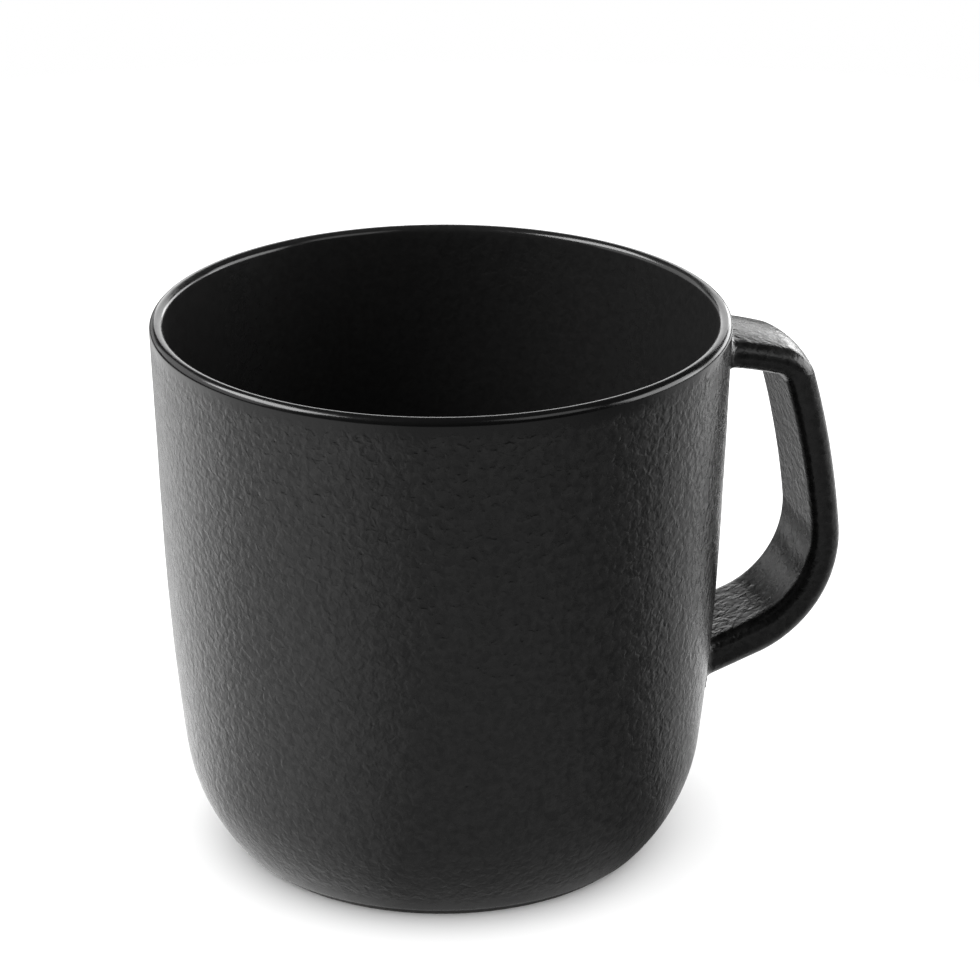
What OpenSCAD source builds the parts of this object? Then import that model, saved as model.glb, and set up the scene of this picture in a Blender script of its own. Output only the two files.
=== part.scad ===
// Ceramic mug: a tapered cup with a rounded bottom corner and a wide strap handle.
// The clay cup and the clay handle are separate pieces, luted together with slip,
// and each is covered by its own coat of glaze.
// Frame: origin on the cup's axis in the plane that it stands on, +Z up, handle along +X.

/* [Cup] */
// Height of the glazed mug
height = 85; // [80:1:90]
// Outside diameter at the rim
rim_d = 88; // [84:1:94]
// Lean of the outer wall from the vertical, in degrees
wall_taper = 2.1; // [1.8:0.1:2.4]
// Height where the straight wall becomes the belly curve
belly_z = 53; // [48:1:58]
// Radius of the belly curve
belly_r = 450; // [400:10:500]
// Slope of the wall where the belly meets the bottom corner, in degrees
belly_slope = 6.7; // [6:0.1:7.5]
// Radius of the bottom corner
corner_r = 29; // [27:0.5:31]
// Thickness of the lip
lip_t = 2.2; // [1.8:0.1:2.6]

/* [Inside] */
// Lean of the inner wall from the vertical, in degrees
inner_taper = 4; // [3.6:0.1:4.6]
// Radius of the corner between the inner wall and the floor
inner_corner_r = 16; // [12:1:18]
// Height of the glazed floor above the table
floor_z = 5.5; // [5:0.5:8]

/* [Foot] */
// Width of the flat ring that the mug stands on
foot_w = 4; // [3:0.5:6]
// Bevel on the outer edge of the foot
foot_bevel = 0.4; // [0.2:0.1:0.6]
// Height of the hollow inside the foot ring
recess_h = 1.4; // [1:0.1:2]

/* [Glaze] */
// Thickness of every coat of glaze
glaze_t = 0.3; // [0.2:0.05:0.4]
// Height of the bare clay band above the table
bare_band = 1.4; // [1:0.1:2.5]
// How far the glossy liner comes down outside the rim
liner_drop = 4; // [3.4:0.1:4.2]

/* [Handle] */
// Width of the strap, across the handle
strap_w = 17; // [14:0.5:19]
// Thickness of the strap at its upper root, beside the crown
strap_t = 3.9; // [3.8:0.1:4.5]
// Radius of the strap's long edges
strap_edge = 1.9; // [1.6:0.1:1.9]
// How far the strap's outer face bulges in the middle
strap_crown = 0.9; // [0:0.1:1.2]
// Height of the strap's centre line where it enters the wall
strap_z = 77.2; // [76.5:0.1:77.5]
// Slope of the strap where it leaves the wall, in degrees
strap_slope = 3; // [0:1:5]
// Thickness of the slip that bonds each root to the wall
slip_t = 0.5; // [0.4:0.1:0.8]
// How far the slip is squeezed out round each root
slip_bead = 0.3; // [0.2:0.1:0.6]

/* [Hidden] */
$fn = 96;
arc_step = 4;          // degrees between the points of a curve in the cup's outline
edge_step = 22.5;      // degrees between the points of the strap's rounded edges
face_steps = 6;        // steps across the strap's crowned face

lip_r = lip_t / 2;
lip_c = [rim_d / 2 - lip_r, height - lip_r];
strap_start = 38;      // radius where the strap's centre line begins, inside the wall
strap_split = height / 2;

// The strap as bends [radius, degrees, thickness at its end, rings], from the upper root round
// to the lower one, and the straight bar that runs from the last bend into the wall.
strap_bends = [
    [57.5, 14.5, strap_t, 4],
    [4.6, 56.5, strap_t + 0.5, 8],
    [137, 10.5, strap_t + 0.3, 5],
    [17, 75.5, strap_t + 1.6, 10],
];
lower_bar = 24;
lower_bar_rings = 5;
lower_root_t = strap_t + 1.2;

// Unit vector at an angle above the horizontal, and the points of an arc.
function dir(a) = [cos(a), sin(a)];
function arc(c, r, from, to, step = arc_step) =
    let (n = max(1, ceil(abs(to - from) / step)))
    [for (i = [0:n]) c + r * dir(from + (to - from) * i / n)];
function reverse(v) = [for (i = [len(v) - 1:-1:0]) v[i]];

// The outline is given at a depth under the glazed surface: 0 is the glaze, glaze_t is the clay,
// and a negative depth lies outside the mug. Every curve keeps its centre.
function wall_point(z, depth) =
    let (rise = (z - lip_c[1]) * sin(wall_taper))
    [lip_c[0] + (lip_r - depth + rise) / cos(wall_taper), z];

belly_c = wall_point(belly_z, 0) - belly_r * dir(-wall_taper);
corner_c = belly_c + (belly_r - corner_r) * dir(-belly_slope);

// Radius of the bottom corner's surface at a height, and the angle of that point.
function corner_angle(z, depth) = asin((corner_c[1] - z) / (corner_r - depth));
function corner_radius_at(z, depth) =
    corner_c[0] + (corner_r - depth) * cos(corner_angle(z, depth));

// Outer wall from a height on the straight part down to a height in the bottom corner.
function outer_wall(top, bottom, depth) = concat(
    [wall_point(top, depth)],
    arc(belly_c, belly_r - depth, -wall_taper, -belly_slope),
    arc(corner_c, corner_r - depth, -belly_slope, -corner_angle(bottom, depth))
);

inner_n = dir(-inner_taper);
inner_c_z = floor_z + inner_corner_r;
inner_c_r = (lip_c * inner_n - lip_r - inner_corner_r + inner_c_z * sin(inner_taper)) / cos(inner_taper);
inner_c = [inner_c_r, inner_c_z];

// Over the lip from the outside, down the inner wall and across the floor to the axis.
function lip_and_inside(depth) = concat(
    arc(lip_c, lip_r - depth, -wall_taper, 180 - inner_taper),
    arc(inner_c, inner_corner_r + depth, -inner_taper, -90),
    [[0, floor_z - depth]]
);

foot_r = corner_radius_at(foot_bevel, glaze_t) - foot_bevel;
recess_r = foot_r - foot_w;
recess_z = recess_h + glaze_t;

// Everything that the mug's outer surface encloses, down to the table, at a depth.
module solid_cup(depth) {
    rotate_extrude()
        polygon(concat(outer_wall(lip_c[1], 0, depth), [[0, 0], [0, height], [lip_c[0], height]]));
}

// A coat on the outer wall, from its outer depth down to the clay.
module outer_coat(top, bottom, outer_depth) {
    rotate_extrude()
        polygon(concat(
            outer_wall(top, bottom, outer_depth),
            reverse(outer_wall(top, bottom, glaze_t))
        ));
}

// The strap's centre line: stations [x, z, slope, thickness] from the upper root to the lower one.
function bend_stations(bend, x, z, slope, t) =
    let (r = bend[0], n = bend[3], centre = [x, z] - r * [sin(slope), cos(slope)])
    [for (k = [0:n - 1])
        let (a = slope + bend[1] * k / n, p = centre + r * [sin(a), cos(a)])
        [p[0], p[1], a, t + (bend[2] - t) * k / n]];

function bar_stations(x, z, slope, t) =
    [for (k = [0:lower_bar_rings])
        let (s = lower_bar * k / lower_bar_rings)
        [x + s * cos(slope), z - s * sin(slope), slope, t + (lower_root_t - t) * k / lower_bar_rings]];

function stations(i, x, z, slope, t) =
    i == len(strap_bends) ? bar_stations(x, z, slope, t) :
    let (
        bend = strap_bends[i],
        r = bend[0],
        end = slope + bend[1],
        end_x = x + r * (sin(end) - sin(slope)),
        end_z = z + r * (cos(end) - cos(slope))
    )
    concat(bend_stations(bend, x, z, slope, t), stations(i + 1, end_x, end_z, end, bend[2]));

// Section of the strap: x across its thickness, y across its width, grown by an amount all round.
// Its outer face, at +x, is crowned.
function crown_at(y, grow) = strap_crown * (1 - pow(y / (strap_w / 2 + grow), 2));
function section(t, grow) =
    let (r = strap_edge + grow, x = t / 2 - strap_edge, y = strap_w / 2 - strap_edge)
    concat(
        [for (i = [1:face_steps - 1]) let (v = y * (2 * i / face_steps - 1)) [x + r + crown_at(v, grow), v]],
        [for (p = arc([x, y], r, 0, 90, edge_step)) [p[0] + crown_at(p[1], grow), p[1]]],
        arc([-x, y], r, 90, 180, edge_step),
        arc([-x, -y], r, 180, 270, edge_step),
        [for (p = arc([x, -y], r, 270, 360, edge_step)) [p[0] + crown_at(p[1], grow), p[1]]]
    );

// The strap as one solid, with a ring of points at each station.
module strap(grow = 0) {
    rings = [
        for (s = stations(0, strap_start, strap_z, strap_slope, strap_t))
            [for (p = section(s[3], grow)) [s[0] + p[0] * sin(s[2]), p[1], s[1] + p[0] * cos(s[2])]]
    ];
    n = len(rings[0]);
    last = len(rings) - 1;
    sides = [
        for (k = [0:last - 1], j = [0:n - 1])
            let (next = (j + 1) % n)
            [k * n + j, k * n + next, (k + 1) * n + next, (k + 1) * n + j]
    ];
    upper_end = [for (j = [n - 1:-1:0]) j];
    lower_end = [for (j = [0:n - 1]) last * n + j];
    polyhedron([for (ring = rings) each ring], concat(sides, [upper_end, lower_end]));
}

// A thin layer between the clay wall and a root of the handle.
module slip_joint() {
    intersection() {
        outer_coat(height - liner_drop, corner_c[1] / 2, -slip_t);
        strap(slip_bead);
    }
}

// Half of space above or below the split between the two roots.
module half(upper) {
    translate([0, -height / 2, upper ? strap_split : 0])
        cube([height, height, upper ? height - strap_split : strap_split]);
}

module cup_body() {
    color([0.16, 0.155, 0.15])
        rotate_extrude()
            polygon(concat(
                outer_wall(lip_c[1], foot_bevel, glaze_t),
                [
                    [foot_r, 0],
                    [recess_r, 0],
                    [recess_r - recess_h / 2, recess_z],
                    [0, recess_z],
                ],
                reverse(lip_and_inside(glaze_t))
            ));
}

module outer_glaze() {
    color([0.05, 0.05, 0.052])
        difference() {
            outer_coat(height - liner_drop, bare_band, 0);
            strap(slip_bead);
        }
}

module liner_glaze() {
    color([0.025, 0.025, 0.027])
        rotate_extrude()
            polygon(concat(
                [wall_point(height - liner_drop, 0)],
                lip_and_inside(0),
                reverse(lip_and_inside(glaze_t)),
                [wall_point(height - liner_drop, glaze_t)]
            ));
}

module underside_glaze() {
    color([0.03, 0.03, 0.032])
        translate([0, 0, recess_h])
            cylinder(r = recess_r - recess_h, h = glaze_t);
}

module handle() {
    color([0.16, 0.155, 0.15])
        difference() {
            strap(-glaze_t);
            solid_cup(-slip_t);
        }
}

module handle_glaze() {
    color([0.05, 0.05, 0.052])
        difference() {
            strap();
            strap(-glaze_t);
            solid_cup(-slip_t);
        }
}

module upper_slip_joint() {
    color([0.12, 0.12, 0.12])
        intersection() {
            slip_joint();
            half(true);
        }
}

module lower_slip_joint() {
    color([0.12, 0.12, 0.12])
        intersection() {
            slip_joint();
            half(false);
        }
}

cup_body();
outer_glaze();
liner_glaze();
underside_glaze();
handle();
handle_glaze();
upper_slip_joint();
lower_slip_joint();
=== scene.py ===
"""A matt black ceramic mug on a white studio floor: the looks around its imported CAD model.

Lengths are in metres and the frame is the CAD's: the mug stands on z = 0 about the Z axis, with
its handle towards +X. The coats of glaze are made here again as dense meshes with low swells and
ripples, each a closed shell over the clay, and their finer grain is in the materials. The clay, the
slip and the glazed recess under the mug stay CAD parts with better materials.
"""

import math

import bpy
import numpy as np
from mathutils import Matrix, Vector, noise


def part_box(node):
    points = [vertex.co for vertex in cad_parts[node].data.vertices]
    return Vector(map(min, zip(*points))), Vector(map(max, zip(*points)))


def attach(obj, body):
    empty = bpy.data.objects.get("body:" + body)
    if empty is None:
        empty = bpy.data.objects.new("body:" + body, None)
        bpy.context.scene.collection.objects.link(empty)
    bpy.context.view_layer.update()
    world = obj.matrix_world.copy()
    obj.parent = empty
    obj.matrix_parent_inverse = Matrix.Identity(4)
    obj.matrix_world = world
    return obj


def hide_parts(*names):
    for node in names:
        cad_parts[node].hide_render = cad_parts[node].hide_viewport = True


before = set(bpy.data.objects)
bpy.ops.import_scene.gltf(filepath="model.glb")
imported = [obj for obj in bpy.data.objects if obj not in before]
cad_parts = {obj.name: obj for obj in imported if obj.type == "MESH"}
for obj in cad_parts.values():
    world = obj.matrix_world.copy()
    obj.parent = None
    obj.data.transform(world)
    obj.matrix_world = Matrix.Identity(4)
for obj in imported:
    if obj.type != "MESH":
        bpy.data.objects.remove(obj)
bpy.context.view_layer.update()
MM = 0.001

# ---- Sizes, from the frame where it holds them and from the design where it doesn't
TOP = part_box("liner_glaze")[1].z
RIM_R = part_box("liner_glaze")[1].x
LINER_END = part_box("outer_glaze")[1].z      # where the liner's outside edge meets the outer coat
BARE_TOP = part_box("outer_glaze")[0].z       # top of the bare clay at the foot
CLAY_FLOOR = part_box("liner_glaze")[0].z     # clay under the liner's floor

GLAZE = 0.3 * MM
WALL_LEAN = math.radians(2.1)
BELLY_Z = 53 * MM
BELLY_R = 450 * MM
BELLY_SLOPE = math.radians(6.7)
CORNER_R = 29 * MM
LIP_R = 1.1 * MM
INNER_LEAN = math.radians(4)
INNER_CORNER_R = 16 * MM

STRAP_W = 17 * MM
STRAP_EDGE = 1.9 * MM
STRAP_CROWN = 0.9 * MM                      # bulge of the outer face
STRAP_START = 38 * MM                       # radius where the centre line begins, inside the cup
STRAP_Z = 77.2 * MM
STRAP_SLOPE = math.radians(3)
STRAP_ROOT_T = 3.9 * MM
# Bends of the strap from its upper root: radius, degrees, thickness at the bend's end.
STRAP_BENDS = (
    (57.5 * MM, 14.5, 3.9 * MM),
    (4.6 * MM, 56.5, 4.4 * MM),
    (137 * MM, 10.5, 4.2 * MM),
    (17 * MM, 75.5, 5.5 * MM),
)
LOWER_BAR = 24 * MM
LOWER_ROOT_T = 5.1 * MM
FILLET_R = 1.6 * MM
ROOT_DEPTH = 0.15 * MM                      # how far the handle's coat runs into the cup's coat

# ---- Relief of the glaze: swells and ripples in the meshes, a finer grain in the materials
SWELL_SIZE = 7 * MM
SWELL_DEPTH = 0.04 * MM
RIPPLE_SIZE = 2.4 * MM
RIPPLE_DEPTH = 0.012 * MM
HANDLE_SWELL = 0.4                          # share of each that the handle has
HANDLE_RIPPLE = 0.35
LINER_SWELL_SIZE = 9 * MM
LINER_SWELL_DEPTH = 0.012 * MM
LINER_RIPPLE_DEPTH = 0.006 * MM
GRAIN_SIZE = 1.15 * MM
GRAIN_DEPTH = 0.2 * MM
HANDLE_GRAIN = 0.5                          # share of the grain that the handle has, and the liner
LINER_GRAIN = 0.35
TOOTH_SIZE = 0.35 * GRAIN_SIZE              # the finest grain, over the wrinkles
TOOTH_DEPTH = 0.12 * GRAIN_DEPTH
PIT_SPACING = 3.5 * MM
PIT_REACH = (0.03, 0.1)                     # a pit's floor and its rim, in pit spacings
PIT_DEPTH = 0.25                            # in grain depths
FOOT_SMOOTH = (3.2 * MM, 5.2 * MM)          # heights between which the grain sets in above the foot
LIP_SMOOTH = (TOP - 1.2 * MM, TOP - 3.2 * MM)   # and below the lip
LIP_DULL = (TOP - 1.2 * MM, TOP - 3.6 * MM) # heights between which the lip's gloss turns satin and the painted shade below the lip fades out

# ---- Colours and roughness
GLAZE_BLACK = (0.02, 0.02, 0.02)
DEEP_BLACK = (0.009, 0.009, 0.0091)         # where it lies thick, and the painted shade below the lip
SOFT_BLACK = (0.03, 0.0298, 0.0296)         # where it lies thin
LINER_MOTTLE = 0.6                          # how strongly the wrinkles tint the liner inside
FULL_MOTTLE = 2.5                           # and the glaze outside
DARK_CLAY = (0.022, 0.021, 0.02)
PALE_CLAY = (0.04, 0.039, 0.037)
SATIN = 0.27
GLOSS = 0.18
ROUGH_SPREAD = 0.04                         # how far the roughness strays to either side
GLAZE_IOR = 1.5
NOISE_SPAN = (0.3, 0.7)                     # what a noise texture's values keep to, nearly

# ---- Density of the meshes
AROUND = 560                                # points round the cup
WALL_STEP = 0.55 * MM
LINER_STEP = 1.05 * MM
LIP_STEP = 0.17 * MM
UNDER_STEP = 5 * MM                         # on the liner's clay side
UNDER_LIP_STEP = 0.6 * MM
STRAP_RINGS = 300
STRAP_STEP = 0.38 * MM
CENTRE_STEP = 0.1 * MM                      # along the strap's centre line


# ---- Outlines
def direction(angle):
    return np.array([math.cos(angle), math.sin(angle)])


def arc(centre, radius, start, end, step):
    """Points [r, z] on an arc, at most step apart along it."""
    count = max(2, math.ceil(abs(end - start) * radius / step))
    angles = np.linspace(start, end, count + 1)
    return centre + radius * np.stack([np.cos(angles), np.sin(angles)], 1)


def line(start, end, step):
    """Points [r, z] from start up to, and without, end."""
    start, end = np.array(start), np.array(end)
    count = max(1, math.ceil(np.linalg.norm(end - start) / step))
    return start + (end - start) * np.linspace(0, 1, count, endpoint=False)[:, None]


LIP_C = np.array([RIM_R - LIP_R, TOP - LIP_R])


def wall_point(z, depth):
    rise = (z - LIP_C[1]) * math.sin(WALL_LEAN)
    return np.array([LIP_C[0] + (LIP_R - depth + rise) / math.cos(WALL_LEAN), z])


BELLY_C = wall_point(BELLY_Z, 0) - BELLY_R * direction(-WALL_LEAN)
CORNER_C = BELLY_C + (BELLY_R - CORNER_R) * direction(-BELLY_SLOPE)


def outer_wall(top, bottom, depth, step):
    """The outer wall at a depth under the glaze, from one height down to another."""
    belly = arc(BELLY_C, BELLY_R - depth, -WALL_LEAN, -BELLY_SLOPE, step)
    last = -math.asin((CORNER_C[1] - bottom) / (CORNER_R - depth))
    corner = arc(CORNER_C, CORNER_R - depth, -BELLY_SLOPE, last, step)
    straight = line(wall_point(top, depth), belly[0], step)
    return np.concatenate([straight, belly[:-1], corner])


def inner_centre():
    """Centre of the corner between the inner wall and the floor."""
    z = CLAY_FLOOR + GLAZE + INNER_CORNER_R
    across = LIP_C @ direction(-INNER_LEAN) - LIP_R - INNER_CORNER_R + z * math.sin(INNER_LEAN)
    return np.array([across / math.cos(INNER_LEAN), z])


def inside_and_lip(depth, step, lip_step):
    """From near the axis across the floor, up the inner wall, over the lip and down outside."""
    corner = arc(inner_centre(), INNER_CORNER_R + depth, -math.pi / 2, -INNER_LEAN, step)
    lip = arc(LIP_C, LIP_R - depth, math.pi - INNER_LEAN, -WALL_LEAN, lip_step)
    floor = line([step, corner[0][1]], corner[0], step)
    wall = line(corner[-1], lip[0], step)
    end = wall_point(LINER_END, depth)
    outside = line(lip[-1], end, lip_step)
    return np.concatenate([floor, corner[:-1], wall, lip[:-1], outside, [end]])


# ---- Relief
def noise_at(points, size, offset=0.0):
    """Smooth noise, about -1 to 1, with features of the given size."""
    return np.array([noise.noise(p) for p in (points / size + offset).tolist()])


def smoothstep(x, low, high):
    t = np.clip((x - low) / (high - low), 0, 1)
    return t * t * (3 - 2 * t)


def leather(points, size):
    """Height of the leathery ripples, about -1 to 1: low bumps cut by short, broken creases."""
    warp = 0.7 * size * np.stack([noise_at(points, 2.6 * size, o) for o in (3.1, 17.4, 31.9)], 1)
    bumps = noise_at(points + warp, size)
    crease = -np.exp(-((noise_at(points + warp, 1.7 * size, 9.2) / 0.09) ** 2))
    broken = smoothstep(noise_at(points, 3.5 * size, 23.0), -0.1, 0.35)
    return 0.75 * bumps + 0.7 * crease * broken


def raised(rings, height):
    """Rings of points moved out along the surface's normal by a height for each point."""
    along = np.gradient(rings, axis=0)
    round_ring = np.roll(rings, -1, 1) - np.roll(rings, 1, 1)
    normals = np.cross(along, round_ring)
    normals /= np.linalg.norm(normals, axis=2)[..., None]
    return rings + normals * height.reshape(rings.shape[:2])[..., None]


# ---- Meshes
def make_piece(name, points, faces, material, node):
    """A piece of the visual model that stands for a CAD node."""
    mesh = bpy.data.meshes.new(name)
    mesh.from_pydata(points.tolist(), [], faces)
    mesh.materials.append(material)
    mesh.shade_smooth()
    mesh.set_sharp_from_angle(angle=math.radians(50))
    piece = bpy.data.objects.new(name, mesh)
    bpy.context.scene.collection.objects.link(piece)
    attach(piece, "root")
    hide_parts(node)


def ring_faces(rings, per_ring, closed):
    """Quads between each ring of points and the next, and from the last to the first if closed."""
    faces = []
    for k in range(rings if closed else rings - 1):
        a, b = k * per_ring, (k + 1) % rings * per_ring
        for j in range(per_ring):
            n = (j + 1) % per_ring
            faces.append((a + j, b + j, b + n, a + n))
    return faces


def turned(outline):
    """The rings of points that an outline [r, z] makes when it turns about Z."""
    angles = np.linspace(0, 2 * math.pi, AROUND, endpoint=False)
    rings = np.empty((len(outline), AROUND, 3))
    rings[..., 0] = outline[:, :1] * np.cos(angles)
    rings[..., 1] = outline[:, :1] * np.sin(angles)
    rings[..., 2] = outline[:, 1:]
    return rings


def outer_coat(material):
    """The satin coat on the outer wall, with its relief fading out at the foot and the lip."""
    seen = turned(outer_wall(LINER_END, BARE_TOP, 0, WALL_STEP))
    under = turned(outer_wall(LINER_END, BARE_TOP, GLAZE, 10 * WALL_STEP)[::-1])
    flat = seen.reshape(-1, 3)
    z = flat[:, 2]
    to_lip = LINER_END - z
    rippled = smoothstep(z, *FOOT_SMOOTH) * smoothstep(to_lip, 0, 3 * MM)
    swollen = smoothstep(z, BARE_TOP, BARE_TOP + 4 * MM) * smoothstep(to_lip, 0, 4 * MM)
    relief = RIPPLE_DEPTH * rippled * leather(flat, RIPPLE_SIZE)
    relief += SWELL_DEPTH * swollen * noise_at(flat, SWELL_SIZE, 5.0)
    rings = np.concatenate([raised(seen, relief), under])
    faces = ring_faces(len(rings), AROUND, closed=True)
    points = rings.reshape(-1, 3)
    make_piece("satin_outer_coat", points, faces, material, "outer_glaze")


def liner_coat(material):
    """The glossy liner: floor, inner wall, lip and outside edge, closed by its clay side."""
    seen = turned(inside_and_lip(0, LINER_STEP, LIP_STEP))
    under = turned(inside_and_lip(GLAZE, UNDER_STEP, UNDER_LIP_STEP)[::-1])
    flat = seen.reshape(-1, 3)
    inside = smoothstep(RIM_R - np.hypot(flat[:, 0], flat[:, 1]), 1.6 * MM, 3 * MM)
    relief = LINER_SWELL_DEPTH * noise_at(flat, LINER_SWELL_SIZE, 2.0)
    relief += LINER_RIPPLE_DEPTH * inside * noise_at(flat, RIPPLE_SIZE)
    rings = np.concatenate([raised(seen, relief), under])
    poles = [[0, 0, CLAY_FLOOR + GLAZE], [0, 0, CLAY_FLOOR]]
    points = np.concatenate([rings.reshape(-1, 3), poles])
    faces = ring_faces(len(rings), AROUND, closed=False)
    first_pole, last_pole = len(points) - 2, len(points) - 1
    last = first_pole - AROUND
    for j in range(AROUND):
        n = (j + 1) % AROUND
        faces += [(first_pole, j, n), (last + j, last_pole, last + n)]
    make_piece("gloss_liner_coat", points, faces, material, "liner_glaze")


# ---- Handle
def centre_line(step):
    """Rows [distance, x, z, slope, thickness] along the strap, from its upper root to its lower one."""
    run, x, z, slope, thick = 0.0, STRAP_START, STRAP_Z, STRAP_SLOPE, STRAP_ROOT_T
    rows = []
    for radius, degrees, end_thick in STRAP_BENDS:
        sweep = math.radians(degrees)
        f = np.linspace(0, 1, math.ceil(sweep * radius / step), endpoint=False)
        a = slope + sweep * f
        bend_x = x + radius * (np.sin(a) - math.sin(slope))
        bend_z = z + radius * (np.cos(a) - math.cos(slope))
        bend_thick = thick + (end_thick - thick) * f
        rows.append(np.stack([run + radius * sweep * f, bend_x, bend_z, a, bend_thick], 1))
        x += radius * (math.sin(slope + sweep) - math.sin(slope))
        z += radius * (math.cos(slope + sweep) - math.cos(slope))
        run, slope, thick = run + radius * sweep, slope + sweep, end_thick
    s = np.linspace(0, LOWER_BAR, math.ceil(LOWER_BAR / step))
    taper = thick + (LOWER_ROOT_T - thick) * s / LOWER_BAR
    bar_x, bar_z = x + s * math.cos(slope), z - s * math.sin(slope)
    rows.append(np.stack([run + s, bar_x, bar_z, np.full_like(s, slope), taper], 1))
    return np.concatenate(rows)


def strap_section(step):
    """Rows [side, y, normal across, normal along y] round the strap's section. Side is 1 on the
    outer face and -1 on the inner one; y is where the edge's rounding, or a flat, is centred."""
    half = STRAP_W / 2 - STRAP_EDGE
    turns = math.ceil(math.pi / 2 * STRAP_EDGE / step)
    flats = np.linspace(-half, half, math.ceil(2 * half / step))[1:-1]
    rows = []
    for side, first in ((1, 0), (-1, math.pi)):
        rows += [(side, side * y, side, 0) for y in flats]
        rows += [(side, side * half, math.cos(first + a), math.sin(first + a))
                 for a in np.linspace(0, math.pi / 2, turns + 1)]
        rows += [(-side, side * half, math.cos(first + a), math.sin(first + a))
                 for a in np.linspace(math.pi / 2, math.pi, turns + 1)]
    return np.array(rows)


def from_wall(points):
    """Distance of points outside the cup's wall, measured level."""
    outline = outer_wall(TOP, 2 * MM, 0, WALL_STEP)[::-1]
    wall = np.interp(points[..., 2], outline[:, 1], outline[:, 0])
    return np.hypot(points[..., 0], points[..., 1]) - wall


def strap_points(rows, shape, grow):
    """Points of the strap's surface at each row of the centre line, grown by an amount."""
    slope, thick = rows[:, 3:4], rows[:, 4:5]
    across = shape[:, 0] * (thick / 2 - STRAP_EDGE) + (STRAP_EDGE + grow) * shape[:, 2]
    y = shape[:, 1] + (STRAP_EDGE + grow) * shape[:, 3]
    across = across + (shape[:, 0] > 0) * STRAP_CROWN * (1 - (y / (STRAP_W / 2 + grow)) ** 2)
    x = rows[:, 1:2] + across * np.sin(slope)
    z = rows[:, 2:3] + across * np.cos(slope)
    return np.stack([x, np.broadcast_to(y, x.shape), z], 2)


def strap_rings(count, grow, flared):
    """Rings of the strap from wall to wall, and its section. The end rings lie just inside the
    wall, and a flared strap widens into a fillet there."""
    rows, shape = centre_line(CENTRE_STEP), strap_section(STRAP_STEP)
    if flared:
        gap = np.clip(from_wall(strap_points(rows, shape, grow)), 0, FILLET_R)
        grow = grow + FILLET_R - np.sqrt(FILLET_R**2 - (FILLET_R - gap) ** 2)
    dense = strap_points(rows, shape, grow)
    outside = from_wall(dense) > -ROOT_DEPTH
    rings = np.empty((count, len(shape), 3))
    for j in range(len(shape)):
        seen = np.flatnonzero(outside[:, j])
        s = np.linspace(rows[seen[0], 0], rows[seen[-1], 0], count)
        for axis in range(3):
            rings[:, j, axis] = np.interp(s, rows[:, 0], dense[:, j, axis])
    return rings, shape


def handle_coat(material):
    """The satin coat on the handle, with fillets at its roots that cover the slip."""
    seen, shape = strap_rings(STRAP_RINGS, 0, flared=True)
    under, _ = strap_rings(STRAP_RINGS // 8, -GLAZE, flared=False)
    flat = seen.reshape(-1, 3)
    on_face = np.broadcast_to(np.abs(shape[:, 2]), seen.shape[:2]).reshape(-1)
    rippled = 0.35 + 0.65 * smoothstep(on_face, 0.5, 0.95)      # fainter on the rounded edges
    clear = smoothstep(from_wall(flat), 0, 2 * MM)
    relief = HANDLE_RIPPLE * RIPPLE_DEPTH * rippled * clear * leather(flat, 0.7 * RIPPLE_SIZE)
    relief += HANDLE_SWELL * SWELL_DEPTH * clear * noise_at(flat, SWELL_SIZE, 11.0)
    rings = np.concatenate([raised(seen, relief), under[::-1]])
    faces = ring_faces(len(rings), len(shape), closed=True)
    points = rings.reshape(-1, 3)
    make_piece("satin_handle_coat", points, faces, material, "handle_glaze")


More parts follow.
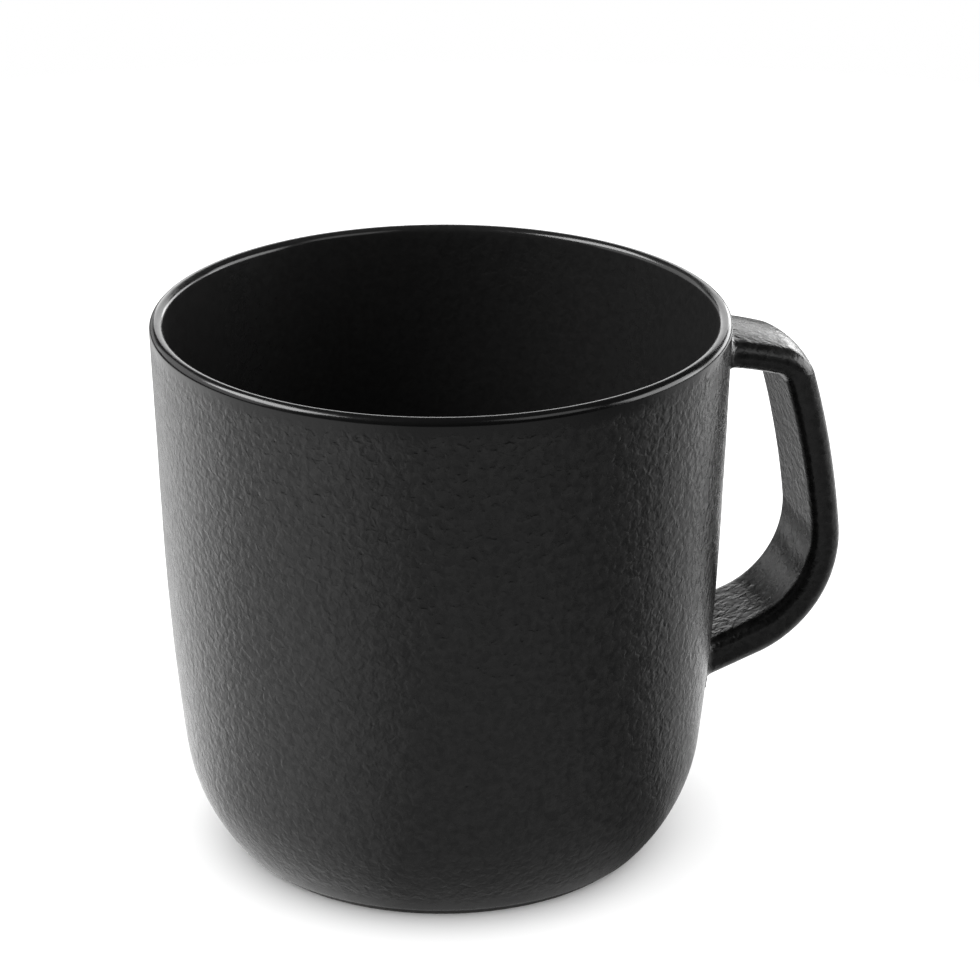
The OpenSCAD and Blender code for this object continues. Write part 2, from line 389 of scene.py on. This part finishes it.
# ---- Materials
class Shader:
    """A material under construction: its node tree, its Principled node and its place texture."""

    def __init__(self, name, color, roughness):
        self.material = bpy.data.materials.new(name)
        self.material.use_nodes = True
        self.tree = self.material.node_tree
        self.surface = self.tree.nodes["Principled BSDF"]
        self.surface.inputs["Base Color"].default_value = (*color, 1)
        self.surface.inputs["Roughness"].default_value = roughness
        self.surface.inputs["IOR"].default_value = GLAZE_IOR
        self.place = self.tree.nodes.new("ShaderNodeTexCoord").outputs["Object"]

    def put(self, value, socket):
        """Gives an input its value: a plain one, or another node's output."""
        if isinstance(value, bpy.types.NodeSocket):
            self.tree.links.new(value, socket)
        else:
            socket.default_value = value

    def add(self, kind, out, **inputs):
        """Adds a node, gives it its inputs by name, and returns one of its outputs."""
        node = self.tree.nodes.new(kind)
        for key, value in inputs.items():
            self.put(value, node.inputs[key.replace("_", " ")])
        return node.outputs[out]

    def math(self, operation, a, b):
        node = self.tree.nodes.new("ShaderNodeMath")
        node.operation = operation
        self.put(a, node.inputs[0])
        self.put(b, node.inputs[1])
        return node.outputs[0]

    def vector_math(self, operation, out, a, b=(0, 0, 0)):
        node = self.tree.nodes.new("ShaderNodeVectorMath")
        node.operation = operation
        self.put(a, node.inputs[0])
        self.put(b, node.inputs[1])
        return node.outputs[out]

    def noise(self, size, detail, distortion=0.0):
        return self.add(
            "ShaderNodeTexNoise", "Fac", Vector=self.place,
            Scale=1 / size, Detail=detail, Distortion=distortion,
        )

    def ramp(self, value, low, high, to_low=0.0, to_high=1.0):
        """Takes a value from one range to another, and stops at the ends."""
        return self.add(
            "ShaderNodeMapRange", "Result", Value=value,
            From_Min=low, From_Max=high, To_Min=to_low, To_Max=to_high,
        )

    def height(self):
        """Height of a point above the table."""
        return self.add("ShaderNodeSeparateXYZ", "Z", Vector=self.place)

    def radius(self):
        """Distance of a point from the cup's axis."""
        level = self.vector_math("MULTIPLY", "Vector", self.place, (1, 1, 0))
        return self.vector_math("LENGTH", "Value", level)

    def bump(self, height, depth, normal=None):
        inputs = {"Height": height, "Distance": depth, "Strength": 1.0}
        if normal is not None:
            inputs["Normal"] = normal
        return self.add("ShaderNodeBump", "Normal", **inputs)

    def tint(self, factor, dark, light):
        """Colours the surface between two tones by a factor."""
        node = self.tree.nodes.new("ShaderNodeMix")
        node.data_type = "RGBA"
        tones = [socket for socket in node.inputs if socket.type == "RGBA"]
        tones[0].default_value = (*dark, 1)
        tones[1].default_value = (*light, 1)
        self.tree.links.new(factor, node.inputs["Factor"])
        mixed = next(socket for socket in node.outputs if socket.type == "RGBA")
        self.drive("Base Color", mixed)

    def drive(self, socket, value):
        """Links a value to one of the Principled node's inputs."""
        self.tree.links.new(value, self.surface.inputs[socket])


def wrinkle_noise(s):
    """The noise that the grain and its tones share."""
    return s.noise(GRAIN_SIZE, 1.5, 0.5)


def grain(s, shown):
    """Normals of the leathery grain with its pits, where shown is 1, over a finer tooth."""
    wrinkles = wrinkle_noise(s)
    spots = s.add("ShaderNodeTexVoronoi", "Distance", Vector=s.place, Scale=1 / PIT_SPACING)
    pits = s.ramp(spots, *PIT_REACH, -PIT_DEPTH, 0.0)
    relief = s.math("MULTIPLY", s.math("ADD", s.math("SUBTRACT", wrinkles, 0.5), pits), shown)
    coarse = s.bump(relief, GRAIN_DEPTH)
    tooth = s.math("MULTIPLY", s.noise(TOOTH_SIZE, 1), shown)
    return s.bump(tooth, TOOTH_DEPTH, coarse)


def satin_glaze():
    """The outer coat and the handle's, which is smoother."""
    s = Shader("satin_black_glaze", GLAZE_BLACK, SATIN)
    s.tint(s.ramp(wrinkle_noise(s), *NOISE_SPAN), DEEP_BLACK, SOFT_BLACK)
    patches = s.noise(2 * MM, 3)
    s.drive("Roughness", s.ramp(patches, *NOISE_SPAN, SATIN - ROUGH_SPREAD, SATIN + ROUGH_SPREAD))
    off_foot = s.ramp(s.height(), *FOOT_SMOOTH)
    on_handle = s.ramp(s.radius(), RIM_R, RIM_R + 3 * MM, 1.0, HANDLE_GRAIN)
    s.drive("Normal", grain(s, s.math("MULTIPLY", off_foot, on_handle)))
    return s.material


def gloss_glaze():
    """The liner's gloss: smooth and evenly black inside, and satin down the outside of the lip. The
    outside of the lip and a band just below it are darkened with painted shade.
    """
    s = Shader("gloss_black_glaze", GLAZE_BLACK, GLOSS)
    outside = s.ramp(s.radius(), RIM_R - LIP_R, RIM_R - 0.8 * LIP_R)
    dull = s.math("MULTIPLY", outside, s.ramp(s.height(), *LIP_DULL))
    # lip is the outside of the lip and the band just below it. The tint takes it off the mottle,
    # darkening it towards DEEP_BLACK: painted shade for the dark band under the rim.
    lip = s.math("SUBTRACT", outside, dull)
    contrast = s.ramp(outside, 0, 1, LINER_MOTTLE, FULL_MOTTLE)
    mottle = s.math("MULTIPLY", s.math("SUBTRACT", wrinkle_noise(s), 0.5), contrast)
    s.tint(s.math("SUBTRACT", s.math("ADD", mottle, 0.5), lip), DEEP_BLACK, SOFT_BLACK)
    patches = s.noise(3 * MM, 3)
    base = s.ramp(patches, *NOISE_SPAN, GLOSS - ROUGH_SPREAD, GLOSS + ROUGH_SPREAD)
    s.drive("Roughness", s.math("ADD", base, s.math("MULTIPLY", dull, SATIN - GLOSS)))
    below_lip = s.ramp(s.height(), *LIP_SMOOTH)
    shown = s.ramp(outside, 0, 1, LINER_GRAIN, 1.0)
    s.drive("Normal", grain(s, s.math("MULTIPLY", below_lip, shown)))
    return s.material


def bare_clay():
    s = Shader("dark_clay", (0.03, 0.029, 0.028), 0.75)
    s.tint(s.ramp(s.noise(0.8 * MM, 4), 0.35, 0.65), DARK_CLAY, PALE_CLAY)
    s.drive("Roughness", s.ramp(s.noise(0.5 * MM, 3), *NOISE_SPAN, 0.65, 0.85))
    s.drive("Normal", s.bump(s.noise(0.3 * MM, 3), 0.02 * MM))
    return s.material


satin, gloss, clay = satin_glaze(), gloss_glaze(), bare_clay()
outer_coat(satin)
liner_coat(gloss)
handle_coat(satin)
for node, material in (
    ("cup_body", clay),
    ("handle", clay),
    ("upper_slip_joint", clay),
    ("lower_slip_joint", clay),
    ("underside_glaze", gloss),
):
    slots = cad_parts[node].data.materials
    slots.clear()
    slots.append(material)

# ---- Camera
CAMERA_BEARING = math.radians(14.9)         # the handle points this far behind the camera's right
CAMERA_RISE = math.radians(23.05)
CAMERA_DISTANCE = 650 * MM
AIM_HEIGHT = 45 * MM                        # the camera's height is measured from here
AIM = (7.38 * MM, 56.47 * MM)               # right of the axis, and up, at the picture's centre
LENS = 154.6                                # on a 36 mm sensor


def bearing(right, back):
    """A level direction given as the camera sees it: so far right, and so far away."""
    c, s = math.cos(CAMERA_BEARING), math.sin(CAMERA_BEARING)
    return Vector((right * c + back * s, back * c - right * s, 0))


def make_camera():
    camera = bpy.data.objects.new("camera", bpy.data.cameras.new("camera"))
    bpy.context.scene.collection.objects.link(camera)
    level = CAMERA_DISTANCE * math.cos(CAMERA_RISE)
    height = CAMERA_DISTANCE * math.sin(CAMERA_RISE) + AIM_HEIGHT
    place = bearing(0, -level) + Vector((0, 0, height))
    aim = bearing(AIM[0], 0) + Vector((0, 0, AIM[1]))
    turn = (aim - place).to_track_quat("-Z", "Y").to_matrix().to_4x4()
    camera.matrix_world = Matrix.Translation(place) @ turn
    camera.data.lens = LENS
    camera.data.clip_start = 10 * MM
    bpy.context.scene.camera = camera


make_camera()

# ---- Studio: a white floor that fades into a white surround, and soft lights
FLOOR_R = 0.45
FLOOR_FADE = (0.5 * FLOOR_R, 0.95 * FLOOR_R)
BOX_DISTANCE = 0.8
FLOOR_WASH = 6.8                            # strength of the white floor's own light
# Bright parts of the glowing floor: bearing, how closely they keep to it, radiance.
GLOWS = (
    (90, 0.2, 0.95),
    (125, 0.7, 0.85),
    (212, 0.8, 1.2),
    (245, 0.8, 0.65),
    (300, 0.7, 0.1),
    (0, 0.5, 0.33),
)


def make_disc(name, radius, z, material):
    mesh = bpy.data.meshes.new(name)
    angles = np.linspace(0, 2 * math.pi, 96, endpoint=False)
    rim = [(radius * math.cos(a), radius * math.sin(a), z) for a in angles]
    mesh.from_pydata(rim, [], [tuple(range(len(rim)))])
    mesh.materials.append(material)
    disc = bpy.data.objects.new(name, mesh)
    bpy.context.scene.collection.objects.link(disc)
    return disc


def make_floor():
    """The white floor that the camera sees, and the glowing one that the mug reflects."""
    s = Shader("white_floor", (0.8, 0.8, 0.8), 1.0)
    reach = s.vector_math("LENGTH", "Value", s.place)
    s.drive("Alpha", s.ramp(reach, *FLOOR_FADE, 1.0, 0.0))
    seen = make_disc("studio_floor", FLOOR_R, 0, s.material)
    seen.visible_glossy = seen.visible_diffuse = seen.visible_shadow = False
    wash_floor(seen)
    card = make_disc("glowing_floor", FLOOR_R, -0.5 * MM, floor_glow())
    card.visible_camera = card.visible_shadow = False


def floor_glow():
    """A floor that glows unevenly, most at the left and behind at the right, as a lit table would."""
    s = Shader("glowing_floor", (0, 0, 0), 1.0)
    away = s.vector_math("NORMALIZE", "Vector", s.place)
    glow = 0.0
    for side, start, radiance in GLOWS:
        towards = s.vector_math("DOT_PRODUCT", "Value", away, around(side))
        glow = s.math("ADD", s.ramp(towards, start, 1.0, 0.0, radiance), glow)
    s.surface.inputs["Emission Color"].default_value = (1, 1, 1, 1)
    s.drive("Emission Strength", glow)
    return s.material


def around(side):
    """A level direction at a bearing in degrees, clockwise from the camera's own from above."""
    return bearing(-math.sin(math.radians(side)), -math.cos(math.radians(side)))


def wash_floor(floor):
    """A sky of light that falls on the white floor alone and leaves only a contact shadow there."""
    lamp = bpy.data.lights.new("floor_wash", "SUN")
    lamp.angle = math.pi
    lamp.energy = FLOOR_WASH
    sky = bpy.data.objects.new("floor_wash", lamp)
    bpy.context.scene.collection.objects.link(sky)
    sky.light_linking.receiver_collection = bpy.data.collections.new("washed_floor")
    sky.light_linking.receiver_collection.objects.link(floor)


def make_surround():
    """A white world that only the camera sees, so that the lamps alone light the mug."""
    world = bpy.data.worlds.new("studio")
    bpy.context.scene.world = world
    world.use_nodes = True
    world.node_tree.nodes["Background"].inputs["Color"].default_value = (1, 1, 1, 1)
    for ray in ("diffuse", "glossy", "transmission", "scatter"):
        setattr(world.cycles_visibility, ray, False)


def all_but_floor():
    """A collection that keeps a lamp off the white floor, which has its own light."""
    rest = bpy.data.collections.new("all_but_floor")
    rest.objects.link(bpy.data.objects["studio_floor"])
    rest.collection_objects[0].light_linking.link_state = "EXCLUDE"
    return rest


def softbox(name, side, rise, width, height, radiance):
    """A softbox facing the mug from BOX_DISTANCE away. Side is its bearing in degrees, clockwise
    from the camera's own when seen from above, and its power follows from its radiance."""
    lamp = bpy.data.lights.new(name, "AREA")
    lamp.shape = "RECTANGLE"
    lamp.size, lamp.size_y = width, height
    lamp.energy = radiance * math.pi * width * height
    box = bpy.data.objects.new(name, lamp)
    bpy.context.scene.collection.objects.link(box)
    e = math.radians(rise)
    target = Vector((0, 0, TOP / 2))
    place = BOX_DISTANCE * (math.cos(e) * around(side) + Vector((0, 0, math.sin(e))))
    turn = (-place).to_track_quat("-Z", "Y").to_matrix().to_4x4()
    box.matrix_world = Matrix.Translation(target + place) @ turn
    box.visible_camera = False
    box.light_linking.receiver_collection = not_floor


make_floor()
make_surround()
not_floor = all_but_floor()
softbox("left_box", 105, 24, 1.1, 0.5, 1.1)
softbox("left_high_box", 86, 47, 0.65, 0.35, 9.5)
softbox("right_box", 266, 16, 0.6, 0.45, 4.1)
softbox("front_right_box", 312, 45, 0.4, 0.4, 1.2)
softbox("back_strip", 216, 8, 0.5, 0.22, 4.6)
softbox("back_right_strip", 245, 8, 0.3, 0.22, 2.5)
softbox("back_box", 183, 17, 0.6, 0.32, 2.2)
softbox("back_left_box", 153, 8, 0.5, 0.22, 0.7)

view_settings = bpy.context.scene.view_settings
view_settings.view_transform = "Standard"
view_settings.look = "None"
